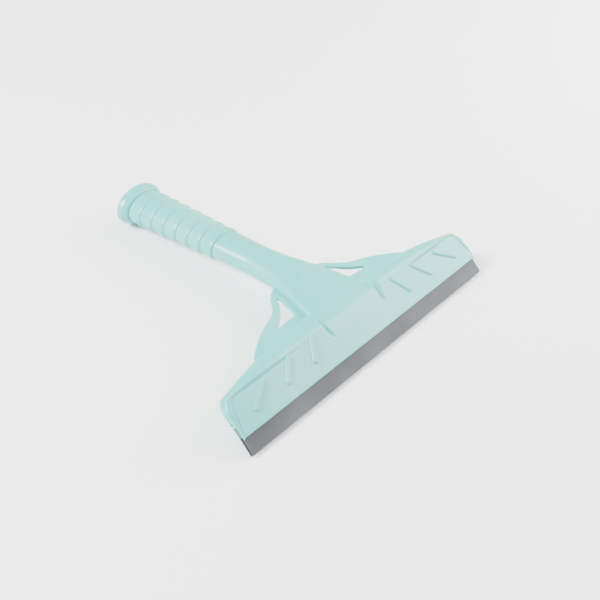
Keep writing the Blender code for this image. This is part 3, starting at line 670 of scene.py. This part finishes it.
def grip_sleeve():
    """The ribbed sleeve: ovals along the saw-tooth profile, then back along its inner wall."""
    y, lift = grip_profile().T
    half = np.interp(y, *np.array(GRIP_HALF).T)
    outer = ovals(y, half + lift * RING_STEP, half * OVAL + lift * RING_STEP)
    y = np.array([GRIP_END - 0.06, GRIP_START])
    half = np.interp(y, *np.array(GRIP_HALF).T)
    inner = ovals(y, half - GRIP_WALL, half * OVAL - GRIP_WALL)
    return tube(np.concatenate([outer, inner]), ends=False)


def collar_ring():
    """The collar: ovals along a smooth bulge, less a Gaussian groove, closed over its inner
    wall."""
    stations = flowing(((0.25, 0.0), (0.5, 0.22), (1.4, 0.47), (2.6, 0.68), (3.8, 0.85),
                        (6.6, 1.0), (8.4, 0.86), (9.4, 0.62), (10, 0.3)), 6)
    y, rise = stations.T
    rise = rise - GROOVE_DEPTH * np.exp(-((y - GROOVE_Y) / GROOVE_WIDTH) ** 2)
    far = GRIP_HALF[-1][1]
    half = far + (COLLAR_HALF - far) * rise
    outer = ovals(GRIP_END + y, half, half * OVAL)
    y = np.array([COLLAR_LENGTH, 0.25])
    half = np.full(2, far - GRIP_WALL)
    inner = ovals(GRIP_END + y, half, half - far * (1 - OVAL))
    return tube(np.concatenate([outer, inner]), ends=False)


def pole_sleeve():
    """The sleeve for an extension pole: an oval outside, a round bore with a flared mouth."""
    near = GRIP_END - SOCKET_DEPTH
    far = GRIP_END + COLLAR_LENGTH - SOCKET_INSET
    y = np.array([near, GRIP_END, far - 0.3, far])
    half = np.interp(y, *np.array(GRIP_HALF).T) - GRIP_WALL - SOCKET_FIT - [0, 0, 0, 0.3]
    outer = ovals(y, half, half - np.interp(y, *np.array(GRIP_HALF).T) * (1 - OVAL))
    y = np.array([far, far - 0.15, far - 0.7, far - 1.5, far - 3, near])
    bore = SOCKET_RADIUS + np.array([1.25, 1.0, 0.45, 0.12, 0, 0])
    return tube(np.concatenate([outer, ovals(y, bore, bore)]), ends=False)


# ---------------------------------------------------------------- blade and screws

def lip(front, rear):
    """A lip's section, with the front corner of its tip taken off."""
    outline = [on_blade(LIP_CHAMFER, front), on_blade(LIP_TOP, front), on_blade(LIP_TOP, rear),
               on_blade(0, rear), on_blade(0, front - LIP_CHAMFER)]
    return prism(outline, BLADE_HALF)


def shell_screw(x, y):
    """A pan-head screw seen from behind: rings about its axis, with a cross cut into the head
    by the product of two smooth steps."""
    base = float(parting(y)) - WEB_THICK - SCREW_RAISE - SCREW_HEAD_RADIUS * PARTING_SLOPE
    a = np.linspace(0, 2 * pi, SCREW_SIDES, endpoint=False)
    radius = SCREW_HEAD_RADIUS * np.sin(np.linspace(0.02, 1, 16) * pi / 2)
    dome = SCREW_HEAD * (0.45 + 0.55 * np.sqrt(1 - (radius / SCREW_HEAD_RADIUS) ** 2))
    px = radius[:, None] * np.cos(a)
    py = radius[:, None] * np.sin(a)
    arm = np.minimum(np.abs(px), np.abs(py))
    cut = (1 - step((arm - CROSS_HALF) / 0.14)) * (1 - step((radius[:, None] - CROSS_REACH) / 0.3))
    pz = -dome[:, None] + CROSS_DEPTH * cut
    head = np.stack([px, py, pz], axis=-1)
    rows = [(SCREW_HEAD_RADIUS, 0.0), (SCREW_RADIUS, 0.0), (SCREW_RADIUS, SCREW_LENGTH - 1.4),
            (0.3 * SCREW_RADIUS, SCREW_LENGTH - 0.3)]
    shank = np.array([np.column_stack([r * np.cos(a), r * np.sin(a), np.full(SCREW_SIDES, h)])
                      for r, h in rows])
    return tube(np.concatenate([head, shank]) + [x, y, base])


# ---------------------------------------------------------------- shader groups

def new_group(name, inputs, outputs):
    """A node group with float inputs (name, default) and float outputs."""
    tree = bpy.data.node_groups.new(name, "ShaderNodeTree")
    for label, value in inputs:
        socket = tree.interface.new_socket(label, in_out="INPUT", socket_type="NodeSocketFloat")
        socket.default_value = value
    for label in outputs:
        tree.interface.new_socket(label, in_out="OUTPUT", socket_type="NodeSocketFloat")
    return tree, tree.nodes.new("NodeGroupInput"), tree.nodes.new("NodeGroupOutput")


def link(tree, source, target):
    """One link from an output to an input."""
    tree.links.new(source, target)


def noise(tree, scale, detail, coordinates, rough=0.5):
    """A noise texture read in the piece's own space."""
    node = tree.nodes.new("ShaderNodeTexNoise")
    node.inputs["Detail"].default_value = detail
    node.inputs["Roughness"].default_value = rough
    link(tree, coordinates, node.inputs["Vector"])
    if isinstance(scale, (int, float)):
        node.inputs["Scale"].default_value = scale
    else:
        link(tree, scale, node.inputs["Scale"])
    return node.outputs["Fac"]


def calc(tree, operation, a, b, clamp=False):
    """One Math node; a and b are sockets or numbers."""
    node = tree.nodes.new("ShaderNodeMath")
    node.operation = operation
    node.use_clamp = clamp
    for value, socket in zip((a, b), node.inputs):
        if isinstance(value, (int, float)):
            socket.default_value = value
        else:
            link(tree, value, socket)
    return node.outputs[0]


def ramp(tree, value, low, high):
    """A smooth mask: 0 below low, 1 above high; low and high are sockets or numbers."""
    node = tree.nodes.new("ShaderNodeMapRange")
    node.interpolation_type = "SMOOTHSTEP"
    link(tree, value, node.inputs["Value"])
    for label, edge in (("From Min", low), ("From Max", high)):
        if isinstance(edge, (int, float)):
            node.inputs[label].default_value = edge
        else:
            link(tree, edge, node.inputs[label])
    return node.outputs["Result"]


def object_space(tree):
    """The piece's own coordinates."""
    return tree.nodes.new("ShaderNodeTexCoord").outputs["Object"]


def make_grain():
    """Moulded skin: fine noise for height, and slow noise for the change of tone and gloss."""
    tree, given, out = new_group("moulded_grain", (("Scale", 900.0), ("Slow Scale", 14.0)),
                                 ("Height", "Tone", "Gloss"))
    place = object_space(tree)
    fine = noise(tree, given.outputs["Scale"], 3, place, 0.55)
    slow = noise(tree, given.outputs["Slow Scale"], 3, place, 0.5)
    middle = noise(tree, 120.0, 4, place, 0.6)
    link(tree, fine, out.inputs["Height"])
    link(tree, ramp(tree, slow, 0.3, 0.7), out.inputs["Tone"])
    link(tree, ramp(tree, middle, 0.35, 0.75), out.inputs["Gloss"])
    return tree


def make_wear():
    """Wear on convex edges: the convex attribute past a limit, broken up by noise."""
    tree, given, out = new_group("edge_wear", (("Limit", 0.25), ("Full", 1.1), ("Break", 220.0)),
                                 ("Mask",))
    place = object_space(tree)
    attribute = tree.nodes.new("ShaderNodeAttribute")
    attribute.attribute_name = "convex"
    edge = ramp(tree, attribute.outputs["Fac"], given.outputs["Limit"], given.outputs["Full"])
    patch = ramp(tree, noise(tree, given.outputs["Break"], 5, place, 0.65), 0.35, 0.62)
    link(tree, calc(tree, "MULTIPLY", edge, patch, True), out.inputs["Mask"])
    return tree


def make_dust():
    """Dust in hollows: the convex attribute below zero, and a thin film in noise patches."""
    tree, given, out = new_group("dust", (("Hollow", 0.7), ("Film", 0.1)), ("Mask",))
    place = object_space(tree)
    attribute = tree.nodes.new("ShaderNodeAttribute")
    attribute.attribute_name = "convex"
    hollow = ramp(tree, calc(tree, "MULTIPLY", attribute.outputs["Fac"], -1.0), 0.05, 0.9)
    speck = ramp(tree, noise(tree, 420.0, 6, place, 0.7), 0.45, 0.8)
    film = calc(tree, "MULTIPLY", ramp(tree, noise(tree, 30.0, 4, place), 0.4, 0.8),
                given.outputs["Film"])
    deep = calc(tree, "MULTIPLY", calc(tree, "MULTIPLY", hollow, speck), given.outputs["Hollow"])
    link(tree, calc(tree, "ADD", deep, film, True), out.inputs["Mask"])
    return tree


GRAIN = make_grain()
WEAR = make_wear()
DUSTING = make_dust()


def use(tree, group, **values):
    """A group node with some of its inputs set."""
    node = tree.nodes.new("ShaderNodeGroup")
    node.node_tree = group
    for label, value in values.items():
        node.inputs[label.replace("_", " ")].default_value = value
    return node


def mix(tree, share, a, b):
    """A colour mix; the share and both colours are sockets or values."""
    node = tree.nodes.new("ShaderNodeMix")
    node.data_type = "RGBA"
    for value, index in ((share, 0), (a, 6), (b, 7)):
        if isinstance(value, (int, float, tuple)):
            node.inputs[index].default_value = value
        else:
            link(tree, value, node.inputs[index])
    return node.outputs[2]


def finish(name, colour, worn, rough, rough_range, grain, slow, bump, wear, dust, metallic=0.0,
           specular=0.5, tone=0.06):
    """A material from the shared groups: colour that drifts in tone, lighter worn edges, dust in
    hollows, and roughness and bump from the same grain."""
    mat = bpy.data.materials.new(name)
    mat.use_nodes = True
    tree = mat.node_tree
    shader = tree.nodes["Principled BSDF"]
    shader.inputs["Metallic"].default_value = metallic
    shader.inputs["Specular IOR Level"].default_value = specular
    skin = use(tree, GRAIN, Scale=grain, Slow_Scale=slow)
    edge = use(tree, WEAR, **wear)
    dirt = use(tree, DUSTING, **dust)
    darker = tuple(c * (1 - tone) for c in colour[:3]) + (1,)
    lighter = tuple(min(c * (1 + tone), 1) for c in colour[:3]) + (1,)
    base = mix(tree, skin.outputs["Tone"], darker, lighter)
    base = mix(tree, calc(tree, "MULTIPLY", edge.outputs["Mask"], 0.6), base, worn)
    base = mix(tree, dirt.outputs["Mask"], base, DUST)
    link(tree, base, shader.inputs["Base Color"])
    gloss = calc(tree, "MULTIPLY", skin.outputs["Gloss"], rough_range)
    dull = calc(tree, "MULTIPLY", dirt.outputs["Mask"], 0.35)
    total = calc(tree, "ADD", calc(tree, "ADD", gloss, dull), rough, True)
    link(tree, total, shader.inputs["Roughness"])
    relief = tree.nodes.new("ShaderNodeBump")
    relief.inputs["Strength"].default_value = bump
    relief.inputs["Distance"].default_value = 0.05 * MM
    link(tree, skin.outputs["Height"], relief.inputs["Height"])
    link(tree, relief.outputs["Normal"], shader.inputs["Normal"])
    return mat


MINT_PLASTIC = finish("mint_plastic_fine", MINT, MINT_WORN, 0.30, 0.08, 1100.0, 12.0, 0.35,
                      {"Limit": 0.35, "Full": 1.4}, {"Hollow": 0.22, "Film": 0.05}, tone=0.03)
RUBBER = finish("foam_rubber_fine", RUBBER_GREY, RUBBER_WORN, 0.50, 0.12, 2600.0, 26.0, 0.8,
                {"Limit": 0.5, "Full": 1.8, "Break": 500.0}, {"Hollow": 0.5, "Film": 0.06},
                specular=0.3, tone=0.05)
PALE_PLASTIC = finish("pale_plastic_fine", PALE, PALE_WORN, 0.42, 0.1, 1300.0, 20.0, 0.4,
                      {"Limit": 0.4}, {"Hollow": 0.4})
SCREW_STEEL = finish("screw_steel_fine", ZINC, ZINC_WORN, 0.30, 0.15, 1800.0, 60.0, 0.4,
                     {"Limit": 0.6}, {"Hollow": 0.6}, metallic=1.0)


# ---------------------------------------------------------------- the object

piece("front_face", front_head(), MINT_PLASTIC, "handle", ["front_shell"], 40)
for number, (top, bottom) in enumerate(RIBS, 1):
    for side, sign in (("left", -1), ("right", 1)):
        piece(f"panel_rib_{side}_{number}", panel_rib(top, bottom, sign), MINT_PLASTIC,
              "handle", crease=60)
piece("web_plate", web_plate(), MINT_PLASTIC, "handle", ["rear_shell"], 30)
piece("neck_back", neck_back(), MINT_PLASTIC, "handle")
piece("slot_wall", slot_wall(), MINT_PLASTIC, "handle", soften=0.4)
piece("grip_sleeve", grip_sleeve(), MINT_PLASTIC, "handle", ["grip"], 50)
piece("collar_ring", collar_ring(), MINT_PLASTIC, "handle", ["end_collar"], 50)
piece("pole_sleeve", pole_sleeve(), PALE_PLASTIC, "handle", ["pole_socket"])
piece("front_strip", lip(BLADE_FRONT, BLADE_FRONT - LIP_THICK), RUBBER, "blade",
      ["front_lip"], soften=0.12)
piece("rear_strip", lip(BLADE_REAR + LIP_THICK, BLADE_REAR), RUBBER, "blade",
      ["rear_lip"], soften=0.12)
places = [(sign * x, y) for x, y in SCREWS for sign in (-1, 1)]
for number, (x, y) in enumerate(places, 1):
    piece(f"screw_{number}", shell_screw(x, y), SCREW_STEEL, "handle",
          [f"shell_screw_{number}"], 30)
frame["nodes"]["blade_spine"].material_slots[0].material = MINT_PLASTIC


# ---------------------------------------------------------------- studio

def make_floor():
    """A pale floor far wider than the object."""
    mesh = bpy.data.meshes.new("floor")
    wide = 6.0
    mesh.from_pydata([(-wide, -wide, 0), (wide, -wide, 0), (wide, wide, 0), (-wide, wide, 0)],
                     [], [(0, 1, 2, 3)])
    mat = bpy.data.materials.new("floor_paper")
    mat.use_nodes = True
    shader = mat.node_tree.nodes["Principled BSDF"]
    shader.inputs["Base Color"].default_value = FLOOR
    shader.inputs["Roughness"].default_value = 0.9
    shader.inputs["Specular IOR Level"].default_value = 0.1
    mesh.materials.append(mat)
    obj = bpy.data.objects.new("floor", mesh)
    bpy.context.scene.collection.objects.link(obj)


def make_light(name, place, size, power, aim=(0, 0, 0.01)):
    """A square soft light turned to a point."""
    data = bpy.data.lights.new(name, "AREA")
    data.size = size
    data.energy = power
    obj = bpy.data.objects.new(name, data)
    obj.location = place
    way = np.array(aim) - np.array(place)
    flat = float(np.hypot(way[0], way[1]))
    obj.rotation_euler = (float(np.arctan2(flat, -way[2])), 0,
                          float(np.arctan2(way[1], way[0])) - pi / 2)
    bpy.context.scene.collection.objects.link(obj)


def make_camera():
    """A camera at the viewing angle, with a slight roll."""
    data = bpy.data.cameras.new("camera")
    data.lens = 64.8
    data.sensor_width = 36
    obj = bpy.data.objects.new("camera", data)
    obj.location = (-0.4706, -0.3591, 0.4366)
    obj.rotation_euler = (radians(52.69), radians(-5.62), radians(-51.87))
    bpy.context.scene.collection.objects.link(obj)
    bpy.context.scene.camera = obj


def make_world():
    """Even white light from all round."""
    world = bpy.data.worlds.new("studio")
    world.use_nodes = True
    sky = world.node_tree.nodes["Background"]
    sky.inputs["Color"].default_value = (1, 1, 1, 1)
    sky.inputs["Strength"].default_value = 1.45
    bpy.context.scene.world = world


make_floor()
make_world()
make_light("key", (-1.0, 0.6, 0.95), 0.4, 74)
make_light("side", (0.8, -0.3, 0.5), 0.8, 26, (0.1, 0, 0.01))
make_camera()
